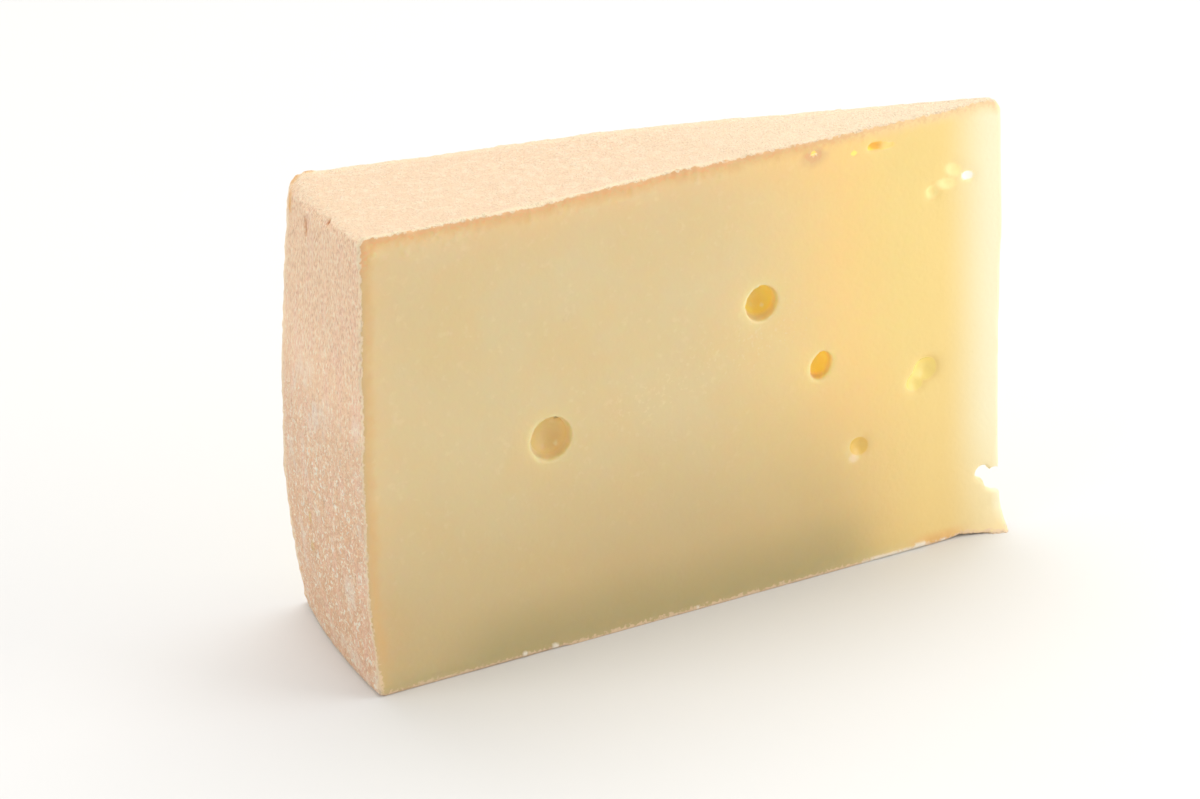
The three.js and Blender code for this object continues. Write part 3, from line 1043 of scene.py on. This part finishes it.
def cheese_material():
    """Paste, eyes and rind in one material that follows the stored numbers."""
    material = bpy.data.materials.new("cheese")
    material.use_nodes = True
    material.cycles.emission_sampling = "NONE"
    tree = material.node_tree
    tree.nodes.clear()
    place = millimetres(tree)
    up = add(tree, "ShaderNodeSeparateXYZ", {0: place}).outputs["Z"]
    into_cut = attribute(tree, "into_cut")
    hollow = ramp(tree, attribute(tree, "hollow"), *HOLLOW_SHARE)
    torn = attribute(tree, "torn")
    slit = attribute(tree, "slit")
    crumb = attribute(tree, "crumb")
    painted_glint = attribute(tree, "painted_glint")
    # Painted shade in the pinhole over the large eye
    pinhole_shade = pinhole(tree, place)
    grain = rind_grain(tree, place, up)
    on_cut = ramp(tree, near_edge(tree, place, into_cut, CUT_WAVES), *CUT_INTO)
    paste = mixed(tree, hollow, paste_colour(tree, place, up, into_cut), hollow_colour(tree, up))
    base = mixed(tree, on_cut, rind_colour(tree, place, up, into_cut, grain), paste)
    # Stains and marks, with painted light and shade among them: the bright spot in the tear, the glints and
    # the pinhole's shade
    for share, stain_or_painted_light in (
        (torn, TORN),
        (slit, SLIT_WALL),
        (attribute(tree, "painted_white_light"), PAINTED_WHITE_LIGHT),
        (crumb, CRUMB),
        (attribute(tree, "burr"), BURR),
        (attribute(tree, "scar"), SCAR),
        (attribute(tree, "pit"), PIT),
        (painted_glint, PAINTED_GLINT),
        (pinhole_shade, PINHOLE_SHADE),
    ):
        base = mixed(tree, share, base, stain_or_painted_light)
    opaque = largest(tree, crumb, pinhole_shade, painted_glint, torn, slit)
    dry = ramp(tree, on_cut, 0.0, 1.0, RIND_ROUGHNESS, CUT_ROUGHNESS)
    surface = add(tree, "ShaderNodeBsdfPrincipled", {
        "Base Color": base,
        "Roughness": maths(tree, "SUBTRACT", dry, products(tree, hollow, HOLLOW_SMOOTHER)),
        "Subsurface Weight": scatter_share(tree, into_cut, hollow, opaque),
        "Subsurface Radius": scatter_radius(tree, hollow),
        "Subsurface Scale": SCATTER_LENGTH * MM,
        "Specular IOR Level": SPECULAR,
        "Emission Color": GLOW,
        "Emission Strength": light_through(tree, up, hollow, torn, slit),
        "Normal": fine_bump(tree, place, on_cut, grain),
    }, subsurface_method="RANDOM_WALK")
    output = add(tree, "ShaderNodeOutputMaterial")
    tree.links.new(surface.outputs["BSDF"], output.inputs["Surface"])
    return material


FLOOR_REACH = 4.0
FLOOR_COLOUR = colour(0.78, 0.78, 0.775)
FLOOR_ROUGHNESS = 0.9
FLOOR_SPECULAR = 0.1
SKY_COLOUR = colour(1.0, 0.99, 0.97)
SKY_STRENGTH = 0.5

# The soft boxes: name, place and target in metres, width, height, brightness and tint
MIDDLE = (0.0, 0.0, 0.04)
THIN_END = (0.04, 0.0, 0.045)
POINT_END = (0.06, 0.0, 0.045)
LIGHTS = [
    ("overhead", (0.1, 0.28, 0.85), MIDDLE, 0.9, 0.9, 2.35, (1.0, 0.99, 0.97)),
    ("behind", (0.35, 0.6, 0.24), THIN_END, 0.6, 0.45, 0.45, (1.0, 0.99, 0.96)),
    ("right", (0.52, 0.06, 0.12), POINT_END, 0.4, 0.4, 0.6, (1.0, 0.99, 0.96)),
    ("right front", (0.36, -0.22, 0.2), POINT_END, 0.3, 0.3, 2.7, (1.0, 0.98, 0.95)),
    ("left", (-0.8, -0.05, 0.45), MIDDLE, 0.6, 0.6, 2.0, (1.0, 0.99, 0.98)),
    ("front", (-0.7, -0.54, 0.85), MIDDLE, 0.16, 0.16, 5.5, (1.0, 0.98, 0.96)),
]


def make_floor():
    """A wide pale floor."""
    mesh = bpy.data.meshes.new("floor")
    corners = [(x * FLOOR_REACH, y * FLOOR_REACH, 0) for x, y in ((-1, -1), (1, -1), (1, 1), (-1, 1))]
    mesh.from_pydata(corners, [], [(0, 1, 2, 3)])
    floor = bpy.data.objects.new("floor", mesh)
    bpy.context.scene.collection.objects.link(floor)
    material = bpy.data.materials.new("floor")
    material.use_nodes = True
    surface = material.node_tree.nodes["Principled BSDF"]
    surface.inputs["Base Color"].default_value = FLOOR_COLOUR
    surface.inputs["Roughness"].default_value = FLOOR_ROUGHNESS
    surface.inputs["Specular IOR Level"].default_value = FLOOR_SPECULAR
    mesh.materials.append(material)


def area_light(name, place, target, width, height, radiance, tint):
    """A soft box at a place in metres, turned to a target, of a given brightness."""
    data = bpy.data.lights.new(name, "AREA")
    data.shape = "RECTANGLE"
    data.size = width
    data.size_y = height
    data.energy = radiance * math.pi * width * height
    data.color = tint
    light = bpy.data.objects.new(name, data)
    direction = Vector(target) - Vector(place)
    turn = direction.to_track_quat("-Z", "Y").to_matrix().to_4x4()
    light.matrix_world = Matrix.Translation(place) @ turn
    bpy.context.scene.collection.objects.link(light)


def make_lights():
    """The even light of the surroundings and the soft boxes."""
    world = bpy.data.worlds.new("studio")
    world.use_nodes = True
    background = world.node_tree.nodes["Background"]
    background.inputs["Color"].default_value = SKY_COLOUR
    background.inputs["Strength"].default_value = SKY_STRENGTH
    bpy.context.scene.world = world
    for light in LIGHTS:
        area_light(*light)


def make_camera():
    """The camera that sees the wedge as it is seen in the photo."""
    azimuth = math.radians(CAMERA_AZIMUTH)
    elevation = math.radians(CAMERA_ELEVATION)
    roll = math.radians(CAMERA_ROLL)
    back = Vector((
        math.sin(azimuth) * math.cos(elevation),
        -math.cos(azimuth) * math.cos(elevation),
        math.sin(elevation),
    ))
    level = Vector((math.cos(azimuth), math.sin(azimuth), 0.0))
    upright = back.cross(level)
    right = math.cos(roll) * level + math.sin(roll) * upright
    up = -math.sin(roll) * level + math.cos(roll) * upright
    place = (Vector(CAMERA_TARGET) + back * CAMERA_DISTANCE) * MM
    data = bpy.data.cameras.new("camera")
    data.sensor_fit = "HORIZONTAL"
    data.sensor_width = SENSOR
    data.lens = SENSOR * FOCAL_PIXELS / PHOTO_WIDTH
    data.clip_start = CAMERA_CLIP * MM
    camera = bpy.data.objects.new("camera", data)
    turn = Matrix((right, up, back)).transposed()
    camera.matrix_world = Matrix.Translation(place) @ turn.to_4x4()
    bpy.context.scene.collection.objects.link(camera)
    bpy.context.scene.camera = camera


def make_cheese():
    """The wedge, in place of its solid."""
    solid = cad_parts[NODE]
    piece = dense_copy(solid)
    dress(piece, solid.data)
    piece.data.materials.clear()
    piece.data.materials.append(cheese_material())
    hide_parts(NODE)
    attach(piece, "root")


make_cheese()
make_floor()
make_lights()
make_camera()
bpy.context.scene.view_settings.view_transform = "Standard"
